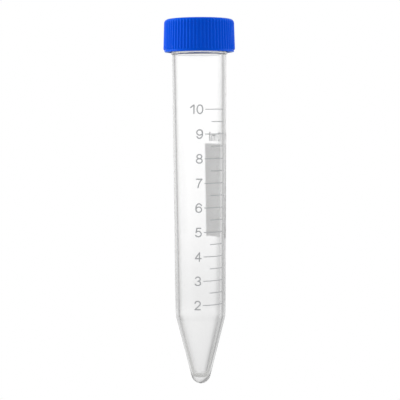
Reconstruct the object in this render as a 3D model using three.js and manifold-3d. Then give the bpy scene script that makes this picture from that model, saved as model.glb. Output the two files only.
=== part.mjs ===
// A 10 ml screw-cap test tube with a conical bottom, as used in a centrifuge or a rack.
// Millimetres, +Z up, origin on the axis at the foot of the tip. The scale faces -Y.
import * as THREE from "three";
import { mergeVertices } from "three/addons/utils/BufferGeometryUtils.js";
import { TessellateModifier } from "three/addons/modifiers/TessellateModifier.js";
import Module from "manifold-3d";

const wasm = await Module();
wasm.setup();

// ---------------------------------------------------------------- driving dimensions

// Tube body: one polypropylene moulding.
const rimHeight = 107.33; // tip to rim
const wall = 1.16; // wall of the body, the cone and the neck
const floorThickness = 2.25; // solid plastic under the bore at the tip
const tipRadius = 2.92; // outside radius of the round tip
const coneHalfAngle = THREE.MathUtils.degToRad(14.25);
const coneTopRadius = 7.555; // outside radius where the cone meets the body
const bodyDraft = 0.0072; // growth of the body's radius per mm of height
const shoulderRound = 8; // outside blend between cone and body
const boreFloorRound = 1.2;
const rimRound = 0.35;
const gatePadRadius = 0.45; // trimmed mould gate under the tip
const gatePadProud = 0.04;

// Collar under the cap, where the neck begins: a low ring with rounded edges.
const collarHeight = 0.55;
const collarProud = 0.3; // beyond the neck's wall
const collarRound = 0.12;

// Screw thread, single start, right handed.
const threadLead = 3.2;
const threadDepth = 0.7; // how far the neck's thread stands out
const threadRootWidth = 1.3;
const threadCrestWidth = 0.7;
const neckThreadTurns = 1.45;
const capThreadTurns = 1.3;
const neckThreadTopMargin = 1.3; // rim to the middle of the highest stretch of thread
const neckThreadFootMargin = 0.4; // foot of the lowest stretch of thread to the collar
const threadSink = 0.15; // how deep a thread's foot is buried in its wall
const threadSideClearance = 0.2; // neck thread to cap thread, along the axis
const threadRadialClearance = 0.3; // crest of one thread to the root of the other
const threadRunout = 0.22; // turns over which an end sinks into its wall

// Screw cap: one polyethylene moulding with gripping ribs.
const capGap = 0.1; // collar to the skirt's lower edge
const capTopThickness = 1.15;
const capWall = 1.24; // under the ribs' grooves, at the skirt's lower edge
const capDraft = 0.032; // loss of radius per mm of height
const capTopRound = 1.2;
const capEdgeRound = 0.25;
const capBandHeight = 0.55; // plain band under the ribs
const ribCount = 64;
const ribDepth = 0.3;
const capMouthChamfer = 0.35;
const capGateRadius = 0.8;
const capGateDepth = 0.25;

// Sealing liner: a loose foam disc between rim and cap.
const linerThickness = 0.9;
const linerSideClearance = 0.3;
const faceClearance = 0.06; // between faces that meet when the cap is tight

// Printed scale, writing patch and unit.
const inkThickness = 0.06;
const inkGap = 0.03; // between the ink's solid and the facets of the wall
const lowestMarkRise = 4.19; // the 2 ml mark above the top of the cone
const lowestMark = 2;
const highestMark = 10;
const markStep = 0.5;
const markWidth = 0.23; // printed line width
const majorMarkStart = 1.19; // along the wall from the middle of the front, at mid scale
const minorMarkStart = 3.17;
const markEnd = 7.85;
const printLean = 0.017; // sideways drift of all print per mm of height
const numeralHeight = 2.88;
const numeralStroke = 0.36;
const numeralGap = 0.55; // last digit to its mark
const digitGap = 0.55;
const numeralBreadth = 1.07; // against the strokes as drawn below
const patchHeight = 28.2;
const patchBottom = 44.1;
const patchWidth = 9.2;
const patchMiddle = THREE.MathUtils.degToRad(130); // round the wall from the front
const unitHeight = 2.9;
const unitAbovePatch = 0.7;
const unitMargin = 1.65; // last letter to the patch's edge
const unitSpace = 0.9; // between number and unit

// Facets.
const tubeFacets = 64;
const facetsPerRib = 3;
const capBoreFacets = 64;
const arcTolerance = 0.02; // chord error of rounded corners
const threadStepsPerTurn = 32;
const longestInkEdge = 1.2;

// ---------------------------------------------------------------- sizes that follow

const sinA = Math.sin(coneHalfAngle);
const cosA = Math.cos(coneHalfAngle);

// Height at which a cone that wraps the tip sphere, set in by `inset`, reaches radius r.
const tipCentre = gatePadProud + tipRadius;
const coneHeightAt = (r, inset) => tipCentre + (r * cosA - tipRadius + inset) / sinA;
const coneTopHeight = coneHeightAt(coneTopRadius, 0);
const bodyRadiusAt = (z) => coneTopRadius + (z - coneTopHeight) * bodyDraft;
const boreRadiusAt = (z) => bodyRadiusAt(z) - wall;

// Where the set-in cone meets the bore's wall.
function boreConeTop() {
  const perMm = cosA / sinA;
  const z0 = coneHeightAt(0, wall);
  const boreAtZero = boreRadiusAt(0);
  return (z0 + perMm * boreAtZero) / (1 - perMm * bodyDraft);
}

const capLinerFace = rimHeight + linerThickness + 2 * faceClearance;
const capTop = capLinerFace + capTopThickness;
const neckThreadTop = rimHeight - neckThreadTopMargin;
const neckThreadBottom = neckThreadTop - neckThreadTurns * threadLead;
const collarTop = neckThreadBottom - threadRootWidth - neckThreadFootMargin;
const collarFoot = collarTop - collarHeight;
const neckRadius = bodyRadiusAt(collarFoot);
const capBottom = collarTop + capGap;
const capBoreRadius = neckRadius + threadDepth + threadRadialClearance;
const capRadiusAt = (z) => capBoreRadius + capWall + ribDepth - (z - capBottom) * capDraft;
const linerRadius = capBoreRadius - linerSideClearance;

// ---------------------------------------------------------------- helpers

// Points of an outline [radius, height, rounding] in the lathe's plane, with its corners rounded.
function roundedOutline(corners) {
  const at = corners.map(([r, z]) => new THREE.Vector2(r, z));
  const points = [];
  const add = (point) => {
    if (!points.length || point.distanceTo(points.at(-1)) > 1e-4) points.push(point);
  };
  corners.forEach(([, , round = 0], i) => {
    if (!round || i === 0 || i === corners.length - 1) {
      add(at[i]);
      return;
    }
    const back = at[i - 1].clone().sub(at[i]).normalize();
    const ahead = at[i + 1].clone().sub(at[i]).normalize();
    const half = Math.acos(THREE.MathUtils.clamp(back.dot(ahead), -1, 1)) / 2;
    const reach = round / Math.tan(half);
    const middle = back.clone().add(ahead).setLength(round / Math.sin(half)).add(at[i]);
    const from = at[i].clone().addScaledVector(back, reach).sub(middle);
    const to = at[i].clone().addScaledVector(ahead, reach).sub(middle);
    let sweep = to.angle() - from.angle();
    if (sweep > Math.PI) sweep -= 2 * Math.PI;
    if (sweep < -Math.PI) sweep += 2 * Math.PI;
    const steps = Math.ceil(Math.abs(sweep) / (2 * Math.acos(1 - arcTolerance / round)));
    for (let k = 0; k <= steps; k++) {
      add(from.clone().rotateAround(new THREE.Vector2(), (sweep * k) / steps).add(middle));
    }
  });
  return points;
}

// A body turned about +Z. The outline runs anticlockwise in the plane of radius and height.
function turned(points, facets) {
  const onAxis = points.map((p) => new THREE.Vector2(Math.max(p.x, 0), p.y));
  return new THREE.LatheGeometry(onAxis, facets).rotateX(Math.PI / 2);
}

function toSolid(geometry) {
  const bare = geometry.index ? geometry.toNonIndexed() : geometry.clone();
  bare.deleteAttribute("normal");
  bare.deleteAttribute("uv");
  const merged = mergeVertices(bare, 1e-4);
  return new wasm.Manifold(
    new wasm.Mesh({
      numProp: 3,
      vertProperties: merged.attributes.position.array,
      triVerts: new Uint32Array(merged.index.array),
    }),
  );
}

function toGeometry(solid) {
  const mesh = solid.getMesh();
  const geometry = new THREE.BufferGeometry();
  geometry.setAttribute("position", new THREE.BufferAttribute(mesh.vertProperties, mesh.numProp));
  geometry.setIndex(new THREE.BufferAttribute(mesh.triVerts, 1));
  return geometry;
}

// ---------------------------------------------------------------- screw thread

// A helix whose section keeps one side radial. Its ends ease by `sink` along the radius.
class ThreadPath extends THREE.Curve {
  constructor(radius, bottom, turns, phase, sink) {
    super();
    Object.assign(this, { radius, bottom, turns, phase, sink });
  }

  angleAt(t) {
    return this.phase + t * this.turns * 2 * Math.PI;
  }

  getPoint(t, target = new THREE.Vector3()) {
    const fromEnd = Math.min(t, 1 - t) * this.turns;
    const eased = THREE.MathUtils.smoothstep(fromEnd, 0, threadRunout);
    const r = this.radius + this.sink * (1 - eased);
    const a = this.angleAt(t);
    const z = this.bottom + t * this.turns * threadLead;
    return target.set(r * Math.cos(a), r * Math.sin(a), z);
  }

  getPointAt(t, target) {
    return this.getPoint(t, target);
  }

  computeFrenetFrames(segments) {
    const frames = { tangents: [], normals: [], binormals: [] };
    for (let i = 0; i <= segments; i++) {
      const a = this.angleAt(i / segments);
      frames.tangents.push(new THREE.Vector3(-Math.sin(a), Math.cos(a), 0));
      frames.normals.push(new THREE.Vector3(Math.cos(a), Math.sin(a), 0));
      frames.binormals.push(new THREE.Vector3(0, 0, -1));
    }
    return frames;
  }
}

// A thread that stands `outward` (1) from a neck or (-1) into a bore, of radius `foot`.
// Its ends run out into the wall behind it, which is `behind` thick.
function thread(foot, outward, behind, bottom, turns, phase) {
  const section = new THREE.Shape([
    new THREE.Vector2(-threadSink * outward, -threadRootWidth / 2),
    new THREE.Vector2(threadDepth * outward, -threadCrestWidth / 2),
    new THREE.Vector2(threadDepth * outward, threadCrestWidth / 2),
    new THREE.Vector2(-threadSink * outward, threadRootWidth / 2),
  ]);
  const sink = -outward * Math.min(threadDepth + threadSink / 2, behind - 2 * threadSink);
  return new THREE.ExtrudeGeometry(section, {
    steps: Math.round(turns * threadStepsPerTurn),
    extrudePath: new ThreadPath(foot, bottom, turns, phase, sink),
  });
}

// ---------------------------------------------------------------- tube body

function tubeBody() {
  const boreTop = boreRadiusAt(rimHeight);
  const boreCone = boreConeTop();
  const boreFloorRadius = (tipRadius - wall + (floorThickness - tipCentre) * sinA) / cosA;
  const tipCorner = (tipRadius - tipRadius * sinA) / cosA;
  const outline = roundedOutline([
    [0, gatePadProud],
    [tipCorner, gatePadProud, tipRadius],
    [coneTopRadius, coneTopHeight, shoulderRound],
    [neckRadius, collarFoot],
    [neckRadius + collarProud, collarFoot, collarRound],
    [neckRadius + collarProud, collarTop, collarRound],
    [neckRadius, collarTop],
    [neckRadius, rimHeight, rimRound],
    [boreTop, rimHeight, rimRound],
    [boreRadiusAt(boreCone), boreCone, shoulderRound - wall],
    [boreFloorRadius, floorThickness, boreFloorRound],
    [0, floorThickness],
  ]);
  const padHeight = floorThickness / 2;
  const gatePad = new THREE.CylinderGeometry(gatePadRadius, gatePadRadius, padHeight, 24);
  gatePad.rotateX(Math.PI / 2).translate(0, 0, padHeight / 2);
  const neckThread = thread(neckRadius, 1, wall, neckThreadBottom, neckThreadTurns, 0);
  const body = toSolid(turned(outline, tubeFacets));
  return toGeometry(body.add(toSolid(gatePad)).add(toSolid(neckThread)));
}

// ---------------------------------------------------------------- screw cap

// The outside of the cap, with ribs that fade into the top edge and stop at a plain band.
function ribbedBlank() {
  const ribBottom = capBottom + capBandHeight;
  const topRadius = capRadiusAt(capTop);
  const outline = roundedOutline([
    [0, capBottom],
    [capRadiusAt(capBottom) - ribDepth, capBottom, capEdgeRound],
    [capRadiusAt(ribBottom) - ribDepth, ribBottom],
    [capRadiusAt(ribBottom), ribBottom + ribDepth],
    [topRadius, capTop, capTopRound],
    [0, capTop],
  ]);
  const blank = turned(outline, ribCount * facetsPerRib);
  const position = blank.attributes.position;
  const facet = (2 * Math.PI) / (ribCount * facetsPerRib);
  for (let i = 0; i < position.count; i++) {
    const x = position.getX(i);
    const y = position.getY(i);
    const z = position.getZ(i);
    const r = Math.hypot(x, y);
    const step = Math.round(Math.atan2(y, x) / facet);
    const inGroove = ((step % facetsPerRib) + facetsPerRib) % facetsPerRib === 0;
    const onRibs = z > ribBottom + ribDepth / 2 && r > topRadius - capTopRound;
    if (!inGroove || !onRibs) continue;
    const fade = THREE.MathUtils.smoothstep(capTop - z, 0, capTopRound);
    position.setX(i, (x * (r - ribDepth * fade)) / r);
    position.setY(i, (y * (r - ribDepth * fade)) / r);
  }
  return blank;
}

function screwCap() {
  const cavity = roundedOutline([
    [0, capBottom - 1],
    [capBoreRadius + capMouthChamfer + 1, capBottom - 1],
    [capBoreRadius, capBottom + capMouthChamfer],
    [capBoreRadius, capLinerFace, 0.3],
    [0, capLinerFace],
  ]);
  const gate = new THREE.CylinderGeometry(capGateRadius, capGateRadius, 2 * capGateDepth, 24);
  gate.rotateX(Math.PI / 2).translate(0, 0, capTop);
  const reach = (threadRootWidth + threadCrestWidth) / 2;
  const bottom = neckThreadBottom - reach - threadSideClearance + 0.25 * threadLead;
  const capThread = thread(capBoreRadius, -1, capWall, bottom, capThreadTurns, Math.PI / 2);
  return toGeometry(
    toSolid(ribbedBlank())
      .subtract(toSolid(turned(cavity, capBoreFacets)))
      .subtract(toSolid(gate))
      .add(toSolid(capThread)),
  );
}

function sealingLiner() {
  const foot = rimHeight + faceClearance;
  const disc = new THREE.CylinderGeometry(linerRadius, linerRadius, linerThickness, 48);
  return disc.rotateX(Math.PI / 2).translate(0, 0, foot + linerThickness / 2);
}

// ---------------------------------------------------------------- print

// Bends a flat piece of ink (x along the wall, y up, z out) round the wall at angle `middle`.
// All print was made in one pass, so it shares one lean.
function onWall(flat, middle) {
  const position = flat.attributes.position;
  for (let i = 0; i < position.count; i++) {
    const z = position.getY(i);
    const surface = bodyRadiusAt(z);
    const a = middle + (position.getX(i) + leanAt(z)) / surface;
    const r = surface + inkGap + position.getZ(i);
    position.setXYZ(i, r * Math.sin(a), -r * Math.cos(a), z);
  }
  return flat;
}

// A line of ink along a path, with round ends.
function inkLine(path, width, divisions) {
  const points = path.getPoints(divisions);
  const half = width / 2;
  const side = points.map((p, i) => {
    const before = points[Math.max(i - 1, 0)];
    const after = points[Math.min(i + 1, points.length - 1)];
    const along = after.clone().sub(before).normalize();
    return new THREE.Vector2(-along.y, along.x).multiplyScalar(half);
  });
  const origin = new THREE.Vector2();
  const roundEnd = (centre, start) =>
    [-60, -120].map((turn) => {
      const spoke = start.clone().rotateAround(origin, THREE.MathUtils.degToRad(turn));
      return spoke.add(centre);
    });
  const last = points.length - 1;
  const left = points.map((p, i) => p.clone().add(side[i]));
  const right = points.map((p, i) => p.clone().sub(side[i])).reverse();
  const tip = roundEnd(points[last], side[last]);
  const tail = roundEnd(points[0], side[0].clone().negate());
  return new THREE.Shape([...left, ...tip, ...right, ...tail]);
}

function inkRing(centre, reach, width) {
  const half = width / 2;
  const ring = new THREE.Shape();
  ring.absellipse(centre.x, centre.y, reach.x + half, reach.y + half, 0, 2 * Math.PI);
  const hole = new THREE.Path();
  hole.absellipse(centre.x, centre.y, reach.x - half, reach.y - half, 0, 2 * Math.PI);
  ring.holes.push(hole);
  return ring;
}

// The strokes of each character, on a centre line `u` high, as shapes `stroke` wide.
// Arcs are [centre x, centre y, radius x, radius y, start, end in degrees], drawn clockwise.
function glyph(character, u, stroke) {
  const at = (x, y) => new THREE.Vector2(x * u * numeralBreadth, y * u);
  const line = (...xy) => {
    const shapes = [];
    for (let i = 0; i + 3 < xy.length; i += 2) {
      const path = new THREE.LineCurve(at(xy[i], xy[i + 1]), at(xy[i + 2], xy[i + 3]));
      shapes.push(inkLine(path, stroke, 1));
    }
    return shapes;
  };
  const arc = (x, y, rx, ry, start, end) => {
    const [from, to] = [start, end].map(THREE.MathUtils.degToRad);
    const centre = at(x, y);
    const reach = at(rx, ry);
    const path = new THREE.EllipseCurve(centre.x, centre.y, reach.x, reach.y, from, to, true);
    return [inkLine(path, stroke, 9)];
  };
  const bend = (from, pull, to) => [inkLine(new THREE.QuadraticBezierCurve(from, pull, to), stroke, 5)];
  const ring = (x, y, rx, ry) => [inkRing(at(x, y), at(rx, ry), stroke)];
  const strokes = {
    0: () => ring(0.31, 0.5, 0.31, 0.5),
    1: () => line(0, 0.69, 0.4, 1, 0.4, 0),
    2: () => [...arc(0.31, 0.71, 0.29, 0.29, 175, -38), ...line(0.539, 0.531, 0.02, 0, 0.62, 0)],
    3: () => [...arc(0.3, 0.75, 0.27, 0.25, 160, -90), ...arc(0.3, 0.25, 0.31, 0.25, 90, -160)],
    4: () => line(0.45, 0, 0.45, 1, 0, 0.3, 0.64, 0.3),
    5: () => [...line(0.56, 1, 0.13, 1, 0.06, 0.5), ...arc(0.29, 0.325, 0.33, 0.325, 140, -150)],
    6: () => [...ring(0.31, 0.31, 0.31, 0.31), ...arc(0.33, 0.5, 0.33, 0.5, 218, 35)],
    7: () => [...line(0, 1, 0.62, 1), ...bend(at(0.62, 1), at(0.27, 0.6), at(0.2, 0))],
    8: () => [...ring(0.31, 0.76, 0.26, 0.24), ...ring(0.31, 0.26, 0.31, 0.26)],
    9: () => [...ring(0.31, 0.69, 0.31, 0.31), ...arc(0.29, 0.5, 0.33, 0.5, 38, -145)],
    m: () => [
      ...line(0, 0, 0, 0.68),
      ...arc(0.2, 0.44, 0.2, 0.24, 180, 0),
      ...line(0.4, 0.44, 0.4, 0),
      ...arc(0.6, 0.44, 0.2, 0.24, 180, 0),
      ...line(0.8, 0.44, 0.8, 0),
    ],
    l: () => line(0, 0, 0, 1),
  };
  return strokes[character]();
}

const glyphWidth = { 1: 0.4, m: 0.8, l: 0 };
const widthOf = (character, u, stroke) => (glyphWidth[character] ?? 0.62) * u * numeralBreadth + stroke;

// One printed character, its left edge at `left` along the wall and its foot at height `foot`.
function character(symbol, height, stroke, left, foot, middle) {
  const u = height - stroke;
  const depth = { depth: inkThickness, bevelEnabled: false, curveSegments: 8 };
  const joined = glyph(symbol, u, stroke)
    .map((shape) => toSolid(new THREE.ExtrudeGeometry(shape, depth)))
    .reduce((all, next) => all.add(next));
  const flat = toGeometry(joined).translate(left + stroke / 2, foot + stroke / 2, 0).toNonIndexed();
  return onWall(new TessellateModifier(longestInkEdge).modify(flat), middle);
}

// The pitch of the scale: one millilitre of the bore at the middle of the scale.
const lowestMarkHeight = coneTopHeight + lowestMarkRise;
const middleMark = (lowestMark + highestMark) / 2;
function millilitreHeight() {
  let height = 7;
  for (let i = 0; i < 8; i++) {
    const r = boreRadiusAt(lowestMarkHeight + (middleMark - lowestMark) * height);
    height = 1000 / (Math.PI * r * r);
  }
  return height;
}
const millilitre = millilitreHeight();
const markHeight = (ml) => lowestMarkHeight + (ml - lowestMark) * millilitre;
const leanAt = (z) => (z - markHeight(middleMark)) * printLean;

function scaleMark(ml) {
  const z = markHeight(ml);
  const start = Number.isInteger(ml) ? majorMarkStart : minorMarkStart;
  const plate = new THREE.BoxGeometry(markEnd - start, markWidth, inkThickness, 12, 1, 1);
  return onWall(plate.translate((start + markEnd) / 2, z, inkThickness / 2), 0);
}

function numerals(ml) {
  const z = markHeight(ml);
  const digits = String(ml).split("");
  const u = numeralHeight - numeralStroke;
  let right = majorMarkStart - numeralGap;
  return digits.reverse().map((digit, i) => {
    const left = right - widthOf(digit, u, numeralStroke);
    const place = i === 0 ? "units" : "tens";
    const name = digits.length > 1 ? `numeral_${ml}_${place}` : `numeral_${ml}`;
    const geometry = character(digit, numeralHeight, numeralStroke, left, z - numeralHeight / 2, 0);
    right = left - digitGap;
    return [name, geometry];
  });
}

function writingPatch() {
  const plate = new THREE.BoxGeometry(patchWidth, patchHeight, inkThickness, 14, 1, 1);
  return onWall(plate.translate(0, patchBottom + patchHeight / 2, inkThickness / 2), patchMiddle);
}

function unitText() {
  const foot = patchBottom + patchHeight + unitAbovePatch;
  const u = unitHeight - numeralStroke;
  let right = patchWidth / 2 - unitMargin;
  return [
    ["unit_l", "l", unitSpace / 2],
    ["unit_m", "m", unitSpace],
    ["unit_0", "0", digitGap],
    ["unit_1", "1", 0],
  ].map(([name, symbol, space]) => {
    const left = right - widthOf(symbol, u, numeralStroke);
    right = left - space;
    return [name, character(symbol, unitHeight, numeralStroke, left, foot, patchMiddle)];
  });
}

// ---------------------------------------------------------------- materials

function plastic(color, roughness) {
  return new THREE.MeshStandardMaterial({ color, roughness, metalness: 0 });
}
const polypropylene = plastic(0xe9ecee, 0.25);
const blueCap = plastic(0x0a4bc8, 0.4);
const foam = plastic(0xf1f1ec, 0.85);
const greyInk = plastic(0x8f9193, 0.6);
const whiteInk = plastic(0xf2f2f0, 0.7);

// ---------------------------------------------------------------- assembly

const tube = new THREE.Group();

function place(name, geometry, material) {
  const mesh = new THREE.Mesh(geometry, material);
  mesh.name = name;
  tube.add(mesh);
}

place("tube_body", tubeBody(), polypropylene);
place("screw_cap", screwCap(), blueCap);
place("sealing_liner", sealingLiner(), foam);
place("writing_patch", writingPatch(), whiteInk);

for (let ml = lowestMark; ml <= highestMark; ml += markStep) {
  const label = ml.toFixed(1).replace(".", "_").padStart(4, "0");
  place(`mark_${label}_ml`, scaleMark(ml), greyInk);
  if (Number.isInteger(ml)) numerals(ml).forEach(([name, geometry]) => place(name, geometry, greyInk));
}
unitText().forEach(([name, geometry]) => place(name, geometry, greyInk));

export default tube;
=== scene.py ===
import math

import bpy
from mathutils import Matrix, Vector


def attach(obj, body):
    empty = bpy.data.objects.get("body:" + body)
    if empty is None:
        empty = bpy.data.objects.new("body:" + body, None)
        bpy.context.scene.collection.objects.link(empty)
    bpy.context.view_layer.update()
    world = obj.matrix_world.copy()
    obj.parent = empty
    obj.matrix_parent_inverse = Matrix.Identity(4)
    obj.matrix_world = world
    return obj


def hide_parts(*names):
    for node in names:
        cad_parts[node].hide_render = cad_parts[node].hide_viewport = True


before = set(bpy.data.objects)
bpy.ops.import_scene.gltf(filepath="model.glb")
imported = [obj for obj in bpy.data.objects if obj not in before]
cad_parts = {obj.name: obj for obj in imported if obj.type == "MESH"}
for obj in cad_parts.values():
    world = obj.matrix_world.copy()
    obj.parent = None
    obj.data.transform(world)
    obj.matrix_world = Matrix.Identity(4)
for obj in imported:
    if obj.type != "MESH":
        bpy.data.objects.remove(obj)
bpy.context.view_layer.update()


# ---------------------------------------------------------------------------
# Tube body
# One injection moulding in natural polypropylene: a slightly drafted barrel, a cone with a round
# tip and a trimmed gate, a low collar, and a neck with a single right-handed thread for the cap.
# ---------------------------------------------------------------------------
MM = 0.001
RIM = 107.33 * MM
RIM_ROUND = 0.35 * MM
WALL = 1.16 * MM
TIP_RADIUS = 2.92 * MM
TIP_FLOOR = 2.25 * MM
TIP_FLOOR_ROUND = 1.2 * MM
GATE_RADIUS = 0.45 * MM
GATE_PROUD = 0.04 * MM
GATE_CHAMFER = 0.03 * MM
GATE_SURROUND = 0.08 * MM  # the round tip starts this far outside the pad
CONE_ANGLE = math.radians(14.25)
CONE_TOP_RADIUS = 7.555 * MM
SHOULDER_ROUND = 8 * MM
BARREL_DRAFT = 0.0072
BARREL_SLICE = 4 * MM
CORE_SHIFT = 0.15 * MM  # the mould's long core bends a little under the melt
CORE_TAPER = 0.006  # the core narrows faster than the cavity, so the wall thickens downwards
CORE_TRUE_HEIGHT = 60 * MM  # where the wall is as thick as WALL says
WALL_THINNEST, WALL_THICKEST = -0.1 * MM, 0.2 * MM  # how far it may differ from that
CORE_TIP = 20 * MM  # the core is true at the floor, and its faults grow over this height
CORE_START = 0.5 * MM  # the floor's own corner is left out of them
COLLAR_HEIGHT = 0.55 * MM
COLLAR_PROUD = 0.3 * MM
COLLAR_ROUND = 0.12 * MM
COLLAR_FILLET = 0.1 * MM
COLLAR_MARGIN = 0.4 * MM  # beyond a thread's width of plain neck above the collar
THREAD_LEAD = 3.2 * MM
THREAD_DEPTH = 0.7 * MM
THREAD_ROOT = 1.3 * MM
THREAD_CREST = 0.7 * MM
THREAD_RUNOUT = 0.22  # the turns over which each end of the thread rises
THREAD_TOP_MARGIN = 1.3 * MM
THREAD_SLICE = 0.12 * MM
NECK_TURNS = 1.45

cone_sin, cone_cos = math.sin(CONE_ANGLE), math.cos(CONE_ANGLE)
tip_centre = GATE_PROUD + TIP_RADIUS


def cone_height(radius, inset):
    """Height where the cone's surface, set in by inset, has that radius."""
    return tip_centre + (radius * cone_cos - TIP_RADIUS + inset) / cone_sin


cone_top = cone_height(CONE_TOP_RADIUS, 0)


def cone_radius(z):
    return (TIP_RADIUS + (z - tip_centre) * cone_sin) / cone_cos


def barrel_radius(z):
    return CONE_TOP_RADIUS + (z - cone_top) * BARREL_DRAFT


def bore_radius(z):
    return barrel_radius(z) - WALL


neck_thread_top = RIM - THREAD_TOP_MARGIN
neck_thread_foot = neck_thread_top - NECK_TURNS * THREAD_LEAD
collar_top = neck_thread_foot - THREAD_ROOT - COLLAR_MARGIN
collar_foot = collar_top - COLLAR_HEIGHT
neck_radius = barrel_radius(collar_foot)


def rounded(corners, turn=math.radians(7)):
    """The outline through corners (radius, height, rounding), its corners drawn as arcs."""
    points = []
    for i, (r, z, rounding) in enumerate(corners):
        here = Vector((r, z))
        if not rounding:
            points.append(here)
            continue
        back = (Vector(corners[i - 1][:2]) - here).normalized()
        ahead = (Vector(corners[i + 1][:2]) - here).normalized()
        half = back.angle(ahead) / 2
        middle = here + (back + ahead).normalized() * (rounding / math.sin(half))
        start = here + back * (rounding / math.tan(half)) - middle
        sweep = math.pi - 2 * half
        if back.x * ahead.y - back.y * ahead.x > 0:
            sweep = -sweep
        steps = max(2, math.ceil(abs(sweep) / turn))
        for k in range(steps + 1):
            a = sweep * k / steps
            c, s = math.cos(a), math.sin(a)
            points.append(middle + Vector((start.x * c - start.y * s, start.x * s + start.y * c)))
    return points


def sliced(points, low, high, step):
    """The same outline with extra points on its upright stretches between two heights."""
    out = [points[0]]
    for a, b in zip(points, points[1:]):
        bottom, top = sorted((a.y, b.y))
        if bottom >= low - step and top <= high + step and top - bottom > step:
            parts = math.ceil((top - bottom) / step)
            out += [a.lerp(b, k / parts) for k in range(1, parts)]
        out.append(b)
    return out


def turned(name, outline, facets, relief=None):
    """A smooth body turned about +Z. relief(angle, radius, height) gives each point's own radius."""
    vertices, rings, faces = [], [], []
    for p in outline:
        if p.x < 0.001 * MM:  # on the axis
            rings.append([len(vertices)] * facets)
            vertices.append((0, 0, p.y))
            continue
        rings.append(list(range(len(vertices), len(vertices) + facets)))
        for k in range(facets):
            angle = 2 * math.pi * k / facets
            r = relief(angle, p.x, p.y) if relief else p.x
            vertices.append((r * math.cos(angle), r * math.sin(angle), p.y))
    for lower, upper in zip(rings, rings[1:]):
        for k in range(facets):
            n = (k + 1) % facets
            corners = [lower[k], lower[n], upper[n], upper[k]]
            face = [v for i, v in enumerate(corners) if v not in corners[:i]]
            if len(face) > 2:
                faces.append(face)
    mesh = bpy.data.meshes.new(name)
    mesh.from_pydata(vertices, [], faces)
    mesh.validate()
    mesh.polygons.foreach_set("use_smooth", [True] * len(mesh.polygons))
    piece = bpy.data.objects.new(name, mesh)
    bpy.context.scene.collection.objects.link(piece)
    return piece


def eased(share):
    """0 to 1 with a soft start and a soft end."""
    return share * share * (3 - 2 * share)


def thread_height(angle, z, foot, turns, start):
    """How far the thread stands out at a point, from 0 at its root to 1 at its crest."""
    turn = (angle - start) / (2 * math.pi)
    turn += round((z - foot) / THREAD_LEAD - turn)
    if not 0 < turn < turns:
        return 0
    aside = abs(z - foot - turn * THREAD_LEAD)
    flank = (THREAD_ROOT / 2 - aside) / ((THREAD_ROOT - THREAD_CREST) / 2)
    runout = min(turn, turns - turn) / THREAD_RUNOUT
    return eased(min(max(flank, 0), 1)) * eased(min(runout, 1))


def tube_body():
    slope = cone_cos / cone_sin
    bore_cone_top = (cone_height(0, WALL) + slope * bore_radius(0)) / (1 - slope * BARREL_DRAFT)
    floor_radius = (TIP_RADIUS - WALL + (TIP_FLOOR - tip_centre) * cone_sin) / cone_cos
    tip_corner = (TIP_RADIUS - TIP_RADIUS * cone_sin) / cone_cos
    outside = rounded([
        (0, GATE_PROUD, 0),
        (tip_corner, GATE_PROUD, TIP_RADIUS),
        (CONE_TOP_RADIUS, cone_top, SHOULDER_ROUND),
        (neck_radius, collar_foot, COLLAR_FILLET),
        (neck_radius + COLLAR_PROUD, collar_foot, COLLAR_ROUND),
        (neck_radius + COLLAR_PROUD, collar_top, COLLAR_ROUND),
        (neck_radius, collar_top, 0),
        (neck_radius, RIM, RIM_ROUND),
        (bore_radius(RIM), RIM, RIM_ROUND),
        (bore_radius(bore_cone_top), bore_cone_top, SHOULDER_ROUND - WALL),
        (floor_radius, TIP_FLOOR, TIP_FLOOR_ROUND),
        (0, TIP_FLOOR, 0),
    ])
    # The gate's pad takes the place of the middle of the tip.
    pad = [Vector((0, 0)), Vector((GATE_RADIUS - GATE_CHAMFER, 0)), Vector((GATE_RADIUS, GATE_CHAMFER))]
    outline = pad + [p for p in outside[1:] if p.x > GATE_RADIUS + GATE_SURROUND or p.y > TIP_FLOOR / 2]
    outline = sliced(outline, collar_top, RIM - RIM_ROUND, THREAD_SLICE)
    outline = sliced(outline, cone_top, collar_foot, BARREL_SLICE)

    def relief(angle, r, z):
        outer = cone_radius(z) if z < cone_top else barrel_radius(z)
        inside = r < outer - WALL / 2
        if inside and z > TIP_FLOOR + CORE_START:
            thicker = min(max(CORE_TAPER * (CORE_TRUE_HEIGHT - z), WALL_THINNEST), WALL_THICKEST)
            return r - (CORE_SHIFT * math.cos(angle) + thicker) * min((z - TIP_FLOOR) / CORE_TIP, 1)
        if inside or z < collar_top:
            return r
        return r + THREAD_DEPTH * thread_height(angle, z, neck_thread_foot, NECK_TURNS, start=0)

    return turned("polypropylene_tube", outline, 192, relief)


def linear(text):
    """An sRGB hex colour as the linear colour a shader takes."""
    channels = [int(text[i : i + 2], 16) / 255 for i in (1, 3, 5)]
    return tuple(c / 12.92 if c <= 0.04045 else ((c + 0.055) / 1.055) ** 2.4 for c in channels) + (1,)


def add(tree, kind, settings=None, inputs=None):
    """Adds a node with its settings, its constants, and links from other nodes' outputs."""
    node = tree.nodes.new(kind)
    for key, value in (settings or {}).items():
        setattr(node, key, value)
    for key, value in (inputs or {}).items():
        if isinstance(value, bpy.types.NodeSocket):
            tree.links.new(value, node.inputs[key])
        else:
            node.inputs[key].default_value = value
    return node


def bare_material(name):
    """A new material, and its node tree with nothing in it."""
    material = bpy.data.materials.new(name)
    material.use_nodes = True
    material.node_tree.nodes.clear()
    return material, material.node_tree


def shade(node, low, high, stops):
    """Sets a ramp's grey levels at places given between low and high."""
    ramp = node.color_ramp
    while len(ramp.elements) < len(stops):
        ramp.elements.new(0.5)
    for element, (place, level) in zip(ramp.elements, stops):
        element.position = (place - low) / (high - low)
        element.color = (level, level, level, 1)


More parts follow.
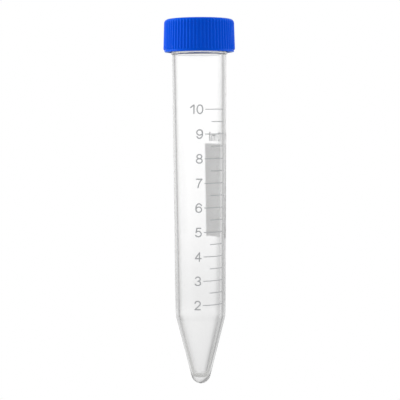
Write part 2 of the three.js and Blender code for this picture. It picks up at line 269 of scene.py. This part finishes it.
def natural_polypropylene():
    """Unpigmented polypropylene from a polished mould.

    To the eye it is clear and glossy, a little grey where one looks along the wall, with faint
    waves. The mould is duller round the gate, so the tip's first 3 to 5 mm look frosted.
    """
    material, tree = bare_material("natural_polypropylene_polished_mould")
    place = add(tree, "ShaderNodeTexCoord")
    # Flow waves are about 4 mm long, and four times that up the tube.
    waves_per_mm = 0.26
    stretched = add(tree, "ShaderNodeMapping", inputs={
        "Vector": place.outputs["Object"], "Scale": (1, 1, 0.25)})
    waves = add(tree, "ShaderNodeTexNoise", {"noise_dimensions": "3D"}, {
        "Vector": stretched.outputs["Vector"], "Scale": waves_per_mm / MM, "Detail": 2.0,
        "Roughness": 0.5})
    bump = add(tree, "ShaderNodeBump", inputs={
        "Strength": 0.005, "Distance": 0.2 * MM, "Height": waves.outputs["Fac"]})
    parts = add(tree, "ShaderNodeSeparateXYZ", inputs={"Vector": place.outputs["Object"]})
    rise = add(tree, "ShaderNodeMapRange", inputs={"Value": parts.outputs["Z"], "From Max": RIM})
    haze = add(tree, "ShaderNodeValToRGB", inputs={"Fac": rise.outputs["Result"]})
    # Roughness by height: the dull tip, then the polished wall.
    shade(haze, 0, RIM, [(0, 0.3), (2.5 * MM, 0.3), (5 * MM, 0.1)])
    surface = add(tree, "ShaderNodeBsdfPrincipled", inputs={
        "Base Color": linear("#fefefe"), "Roughness": haze.outputs["Color"], "IOR": 1.49,
        "Transmission Weight": 1.0, "Normal": bump.outputs["Normal"]})
    inside = add(tree, "ShaderNodeVolumeAbsorption", inputs={
        "Color": linear("#e4e4e4"), "Density": 150.0})
    add(tree, "ShaderNodeOutputMaterial", inputs={
        "Surface": surface.outputs["BSDF"], "Volume": inside.outputs["Volume"]})
    return material


tube = tube_body()
tube.data.materials.append(natural_polypropylene())
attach(tube, "tube")
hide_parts("tube_body")


# ---------------------------------------------------------------------------
# Sealing liner
# A die-cut disc of white closed-cell polyethylene foam that lies loose in the cap and seals on
# the tube's rim.
# ---------------------------------------------------------------------------
LINER_THICKNESS = 0.9 * MM
LINER_ROUND = 0.15 * MM
LINER_CLEARANCE = 0.3 * MM
FACE_GAP = 0.06 * MM
CAP_CLEARANCE = 0.3 * MM
cap_bore = neck_radius + THREAD_DEPTH + CAP_CLEARANCE
liner_foot = RIM + FACE_GAP
liner_top = liner_foot + LINER_THICKNESS
liner_radius = cap_bore - LINER_CLEARANCE

# A Mix node's sockets when it mixes colours.
MIX_A, MIX_B, MIX_OUT = 6, 7, 2


def polyethylene_foam():
    """Closed-cell foam, cut with a die: matt white, with darker walls round cells of 0.3 mm."""
    material, tree = bare_material("polyethylene_foam_die_cut")
    place = add(tree, "ShaderNodeTexCoord")
    cells_per_mm = 3.2
    cells = add(tree, "ShaderNodeTexVoronoi", {"feature": "DISTANCE_TO_EDGE"}, {
        "Vector": place.outputs["Object"], "Scale": cells_per_mm / MM})
    tint = add(tree, "ShaderNodeMapRange", inputs={
        "Value": cells.outputs["Distance"], "From Max": 0.2, "To Min": 0.0, "To Max": 1.0})
    colour = add(tree, "ShaderNodeMix", {"data_type": "RGBA"}, {
        "Factor": tint.outputs["Result"], MIX_A: linear("#dcdbd4"), MIX_B: linear("#f4f3ee")})
    bump = add(tree, "ShaderNodeBump", inputs={
        "Strength": 0.4, "Distance": 0.05 * MM, "Height": cells.outputs["Distance"]})
    surface = add(tree, "ShaderNodeBsdfPrincipled", inputs={
        "Base Color": colour.outputs[MIX_OUT], "Roughness": 0.75, "IOR": 1.5,
        "Normal": bump.outputs["Normal"]})
    add(tree, "ShaderNodeOutputMaterial", inputs={"Surface": surface.outputs["BSDF"]})
    return material


liner = turned("foam_sealing_liner", rounded([
    (0, liner_foot, 0),
    (liner_radius, liner_foot, LINER_ROUND),
    (liner_radius, liner_top, LINER_ROUND),
    (0, liner_top, 0),
], turn=math.radians(25)), 96)
liner.data.materials.append(polyethylene_foam())
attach(liner, "liner")
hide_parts("sealing_liner")


# ---------------------------------------------------------------------------
# Screw cap
# One moulding in solid blue polyethylene, screwed on over the liner. Fine gripping ribs run from
# the rounded top edge to a plain band, and the thread inside mates with the neck's.
# ---------------------------------------------------------------------------
RIBS = 64
RIB_DEPTH = 0.3 * MM
RIB_FOOT_ROUND = 0.12 * MM
GROOVE_SHARPNESS = 1.6  # above 1, the grooves are narrower than the ribs
GROOVE_FADE = 0.7  # how soon the grooves die out over the rounded top edge
CAP_WALL = 1.24 * MM
CAP_DRAFT = 0.032
CAP_ROOF = 1.15 * MM
CAP_ROOF_ROUND = 0.3 * MM
CAP_TOP_ROUND = 1.2 * MM
CAP_BAND = 0.55 * MM
CAP_FOOT_ROUND = 0.25 * MM
CAP_GAP = 0.1 * MM
CAP_TURNS = 1.3
MOUTH_CHAMFER = 0.35 * MM
MOUTH_ROUND = 0.08 * MM
DIMPLE_RADIUS = 0.95 * MM  # the gate's mark in the middle of the top
DIMPLE_FLOOR = 0.8 * MM
DIMPLE_DEPTH = 0.25 * MM
DIMPLE_ROUND = 0.1 * MM
FLANK_CLEARANCE = 0.2 * MM
CAP_THREAD_START = math.pi / 2
CAP_THREAD_SLICE = 0.16 * MM
FACETS_PER_RIB = 8
cap_foot = collar_top + CAP_GAP
cap_roof = liner_top + FACE_GAP
cap_top = cap_roof + CAP_ROOF
# The cap's thread bears on the lower side of the neck's.
thread_step = (THREAD_ROOT + THREAD_CREST) / 2 + FLANK_CLEARANCE
cap_thread_foot = neck_thread_foot - thread_step + CAP_THREAD_START / (2 * math.pi) * THREAD_LEAD


def cap_radius(z):
    return cap_bore + CAP_WALL + RIB_DEPTH - (z - cap_foot) * CAP_DRAFT


def screw_cap():
    band_top = cap_foot + CAP_BAND
    outline = rounded([
        (0, cap_roof, 0),
        (cap_bore, cap_roof, CAP_ROOF_ROUND),
        (cap_bore, cap_foot + MOUTH_CHAMFER, 0),
        (cap_bore + MOUTH_CHAMFER, cap_foot, MOUTH_ROUND),
        (cap_radius(cap_foot) - RIB_DEPTH, cap_foot, CAP_FOOT_ROUND),
        (cap_radius(band_top) - RIB_DEPTH, band_top, 0),
        (cap_radius(band_top), band_top + RIB_DEPTH, RIB_FOOT_ROUND),
        (cap_radius(cap_top), cap_top, CAP_TOP_ROUND),
        (DIMPLE_RADIUS, cap_top, DIMPLE_ROUND),
        (DIMPLE_FLOOR, cap_top - DIMPLE_DEPTH, 0),
        (0, cap_top - DIMPLE_DEPTH, 0),
    ])
    outline = sliced(outline, cap_foot + MOUTH_CHAMFER, cap_roof, CAP_THREAD_SLICE)

    def relief(angle, r, z):
        if r < cap_bore + CAP_WALL / 2:
            height = thread_height(angle, z, cap_thread_foot, CAP_TURNS, CAP_THREAD_START)
            return r - THREAD_DEPTH * height
        if z < band_top:
            return r
        groove = (0.5 + 0.5 * math.cos(RIBS * angle)) ** GROOVE_SHARPNESS
        fade = min(max((cap_top - z) / CAP_TOP_ROUND, 0), 1) ** GROOVE_FADE
        proud = r - (cap_radius(z) - RIB_DEPTH)
        return r - groove * fade * min(max(proud, 0), RIB_DEPTH)

    return turned("ribbed_screw_cap", outline, RIBS * FACETS_PER_RIB, relief)


def blue_polyethylene():
    """Solid blue polyethylene from a fine-etched mould.

    To the eye it is satin, a little paler where light grazes it, with faint flow marks.
    """
    material, tree = bare_material("blue_polyethylene_satin_mould")
    place = add(tree, "ShaderNodeTexCoord")
    # Flow marks are 4 to 5 mm long, and the etched mould's grain is about 0.1 mm.
    flow_marks_per_mm = 0.22
    grains_per_mm = 9
    flow = add(tree, "ShaderNodeTexNoise", inputs={
        "Vector": place.outputs["Object"], "Scale": flow_marks_per_mm / MM, "Detail": 3.0,
        "Roughness": 0.55})
    colour = add(tree, "ShaderNodeMix", {"data_type": "RGBA"}, {
        "Factor": flow.outputs["Fac"], MIX_A: linear("#004ed6"), MIX_B: linear("#0055dc")})
    grain = add(tree, "ShaderNodeTexNoise", inputs={
        "Vector": place.outputs["Object"], "Scale": grains_per_mm / MM, "Detail": 1.0})
    bump = add(tree, "ShaderNodeBump", inputs={
        "Strength": 0.12, "Distance": 0.03 * MM, "Height": grain.outputs["Fac"]})
    surface = add(tree, "ShaderNodeBsdfPrincipled", inputs={
        "Base Color": colour.outputs[MIX_OUT], "Roughness": 0.3, "IOR": 1.51,
        "Specular IOR Level": 0.04, "Sheen Weight": 0.25, "Sheen Roughness": 0.3,
        "Sheen Tint": linear("#6cd0ff"), "Normal": bump.outputs["Normal"]})
    add(tree, "ShaderNodeOutputMaterial", inputs={"Surface": surface.outputs["BSDF"]})
    return material


cap = screw_cap()
cap.data.materials.append(blue_polyethylene())
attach(cap, "cap")
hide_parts("screw_cap")


# ---------------------------------------------------------------------------
# Printed scale and writing patch
# Pad-printed ink on the barrel: grey lines, numerals and unit, and a white patch to write on.
# The film is thin and matt, and a little uneven where the pad left it.
# ---------------------------------------------------------------------------
def printed_ink(name, thin, thick, roughness, scattering):
    """A matt ink film, mottled over 0.4 mm. With scattering, light soaks into it and it glows."""
    material, tree = bare_material(name)
    place = add(tree, "ShaderNodeTexCoord")
    mottles_per_mm = 2.6
    mottle = add(tree, "ShaderNodeTexNoise", inputs={
        "Vector": place.outputs["Object"], "Scale": mottles_per_mm / MM, "Detail": 2.0})
    colour = add(tree, "ShaderNodeMix", {"data_type": "RGBA"}, {
        "Factor": mottle.outputs["Fac"], MIX_A: linear(thin), MIX_B: linear(thick)})
    bump = add(tree, "ShaderNodeBump", inputs={
        "Strength": 0.2, "Distance": 0.01 * MM, "Height": mottle.outputs["Fac"]})
    surface = add(tree, "ShaderNodeBsdfPrincipled", inputs={
        "Base Color": colour.outputs[MIX_OUT], "Roughness": roughness, "IOR": 1.5,
        "Subsurface Weight": scattering, "Subsurface Radius": (1, 1, 1),
        "Subsurface Scale": 0.6 * MM, "Normal": bump.outputs["Normal"]})
    add(tree, "ShaderNodeOutputMaterial", inputs={"Surface": surface.outputs["BSDF"]})
    return material


grey_ink = printed_ink("grey_printing_ink_matt", "#c2c4c6", "#a8aaac", roughness=0.6, scattering=0.0)
white_ink = printed_ink("white_printing_ink_matt", "#fafaf9", "#f0f0ee", roughness=0.7, scattering=1.0)
for name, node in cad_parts.items():
    if name.startswith(("mark_", "numeral_", "unit_")):
        node.data.materials.clear()
        node.data.materials.append(grey_ink)
    elif name == "writing_patch":
        node.data.materials.clear()
        node.data.materials.append(white_ink)


# ---------------------------------------------------------------------------
# Studio sweep
# A bright sweep all round the tube, plain white to the camera. The clear wall bends light from
# the sides, so dimmer gaps in the sweep give it its grey edges.
# ---------------------------------------------------------------------------
SWEEP_LEAN = -1.0  # lower down, the gaps stand further to the left
SWEEP_STRENGTH = 1.2
SWEEP_REACH = 0.5  # past this height, up or down, the brightness no longer changes
# Brightness round the horizon, by degrees from straight behind the tube.
SWEEP_ROUND = [
    (-180, 0.7), (-150, 0.75), (-120, 1.0), (-66, 1.0), (-52, 0.35), (-38, 0.4), (-28, 0.88),
    (-12, 1.0), (6, 1.0), (20, 0.96), (40, 0.5), (50, 0.5), (64, 1.0), (120, 0.95), (150, 0.7)]
# Brightness from below to above, by the height that a direction of length 1 reaches.
SWEEP_UP = [
    (-0.4, 0.55), (-0.3, 0.62), (-0.227, 0.733), (-0.202, 0.805), (-0.171, 0.84), (-0.12, 0.945),
    (-0.06, 0.975), (0.03, 0.98), (0.1, 0.9), (0.25, 0.8), (0.4, 0.85)]


def studio_sweep():
    world = bpy.data.worlds.new("studio_sweep")
    world.use_nodes = True
    tree = world.node_tree
    tree.nodes.clear()
    toward = add(tree, "ShaderNodeTexCoord")
    parts = add(tree, "ShaderNodeSeparateXYZ", inputs={"Vector": toward.outputs["Generated"]})
    azimuth = add(tree, "ShaderNodeMath", {"operation": "ARCTAN2"}, {
        0: parts.outputs["X"], 1: parts.outputs["Y"]})
    leaning = add(tree, "ShaderNodeMath", {"operation": "MULTIPLY_ADD"}, {
        0: parts.outputs["Z"], 1: SWEEP_LEAN, 2: azimuth.outputs[0]})
    turn = add(tree, "ShaderNodeMapRange", inputs={
        "Value": leaning.outputs[0], "From Min": -math.pi, "From Max": math.pi})
    around = add(tree, "ShaderNodeValToRGB", inputs={"Fac": turn.outputs["Result"]})
    shade(around, -180, 180, SWEEP_ROUND)
    lift = add(tree, "ShaderNodeMapRange", inputs={
        "Value": parts.outputs["Z"], "From Min": -SWEEP_REACH, "From Max": SWEEP_REACH})
    height = add(tree, "ShaderNodeValToRGB", inputs={"Fac": lift.outputs["Result"]})
    shade(height, -SWEEP_REACH, SWEEP_REACH, SWEEP_UP)
    level = add(tree, "ShaderNodeMath", {"operation": "MULTIPLY"}, {
        0: around.outputs["Color"], 1: height.outputs["Color"]})
    lit = add(tree, "ShaderNodeBackground", inputs={
        "Color": level.outputs[0], "Strength": SWEEP_STRENGTH})
    seen = add(tree, "ShaderNodeBackground", inputs={"Color": (1, 1, 1, 1), "Strength": 1.0})
    ray = add(tree, "ShaderNodeLightPath")
    mixed = add(tree, "ShaderNodeMixShader", inputs={
        0: ray.outputs["Is Camera Ray"], 1: lit.outputs["Background"], 2: seen.outputs["Background"]})
    add(tree, "ShaderNodeOutputWorld", inputs={"Surface": mixed.outputs["Shader"]})
    return world


bpy.context.scene.world = studio_sweep()


# ---------------------------------------------------------------------------
# Studio floor
# A round board, sprayed pale grey, some way under the tip, because the tube hangs free of it. It
# gives the tip its soft grey underside.
# ---------------------------------------------------------------------------
FLOOR_DROP = 50 * MM
FLOOR_RADIUS = 160 * MM


def painted_board():
    """Board sprayed with matt paint: pale grey and even, with a fine tooth about 1 mm across."""
    material, tree = bare_material("painted_board_matt")
    place = add(tree, "ShaderNodeTexCoord")
    teeth_per_mm = 0.9
    tooth = add(tree, "ShaderNodeTexNoise", inputs={
        "Vector": place.outputs["Object"], "Scale": teeth_per_mm / MM})
    colour = add(tree, "ShaderNodeMix", {"data_type": "RGBA"}, {
        "Factor": tooth.outputs["Fac"], MIX_A: linear("#dededc"), MIX_B: linear("#e2e2e0")})
    surface = add(tree, "ShaderNodeBsdfPrincipled", inputs={
        "Base Color": colour.outputs[MIX_OUT], "Roughness": 0.8})
    add(tree, "ShaderNodeOutputMaterial", inputs={"Surface": surface.outputs["BSDF"]})
    return material


floor = turned("studio_floor", [Vector((0, -FLOOR_DROP)), Vector((FLOOR_RADIUS, -FLOOR_DROP))], 96)
floor.data.materials.append(painted_board())


# ---------------------------------------------------------------------------
# Soft boxes
# Two tall soft lights, left and right, a little behind the tube. They shine on the cap alone, so
# that they leave no streaks in the clear wall.
# ---------------------------------------------------------------------------
BOX_WIDTH, BOX_HEIGHT = 0.25, 0.5
cap_alone = bpy.data.collections.new("cap_alone")
cap_alone.objects.link(cap)


def soft_box(name, place, power):
    light = bpy.data.lights.new(name, "AREA")
    light.shape = "RECTANGLE"
    light.size, light.size_y, light.energy = BOX_WIDTH, BOX_HEIGHT, power
    piece = bpy.data.objects.new(name, light)
    piece.location = place
    toward = Vector((0, 0, cap_foot)) - piece.location
    piece.rotation_euler = toward.to_track_quat("-Z", "Y").to_euler()
    piece.light_linking.receiver_collection = cap_alone
    bpy.context.scene.collection.objects.link(piece)


soft_box("left_soft_box", (-0.45, 0.04, 0.16), power=1.8)
soft_box("right_soft_box", (0.45, 0.06, 0.14), power=0.8)


# ---------------------------------------------------------------------------
# Camera
# In front of the tube, level with the upper part of its scale, and looking slightly down. It is
# rolled by a third of a degree, so the tube leans a little in the view.
# ---------------------------------------------------------------------------
CAMERA_DISTANCE = 0.352
CAMERA_HEIGHT = 0.08305
LOOK_HEIGHT = 0.05575
VIEW_ANGLE = math.radians(19.3)
CAMERA_ROLL = math.radians(-0.3)
SENSOR_WIDTH = 36
camera_data = bpy.data.cameras.new("camera")
camera_data.sensor_width = SENSOR_WIDTH
camera_data.lens = SENSOR_WIDTH / (2 * math.tan(VIEW_ANGLE / 2))
camera = bpy.data.objects.new("camera", camera_data)
camera.location = (0, -CAMERA_DISTANCE, CAMERA_HEIGHT)
aim = Vector((0, 0, LOOK_HEIGHT)) - camera.location
camera.rotation_euler = aim.to_track_quat("-Z", "Y").to_euler()
camera.rotation_euler.rotate_axis("Z", CAMERA_ROLL)
bpy.context.scene.collection.objects.link(camera)
bpy.context.scene.camera = camera
bpy.context.scene.view_settings.view_transform = "Standard"
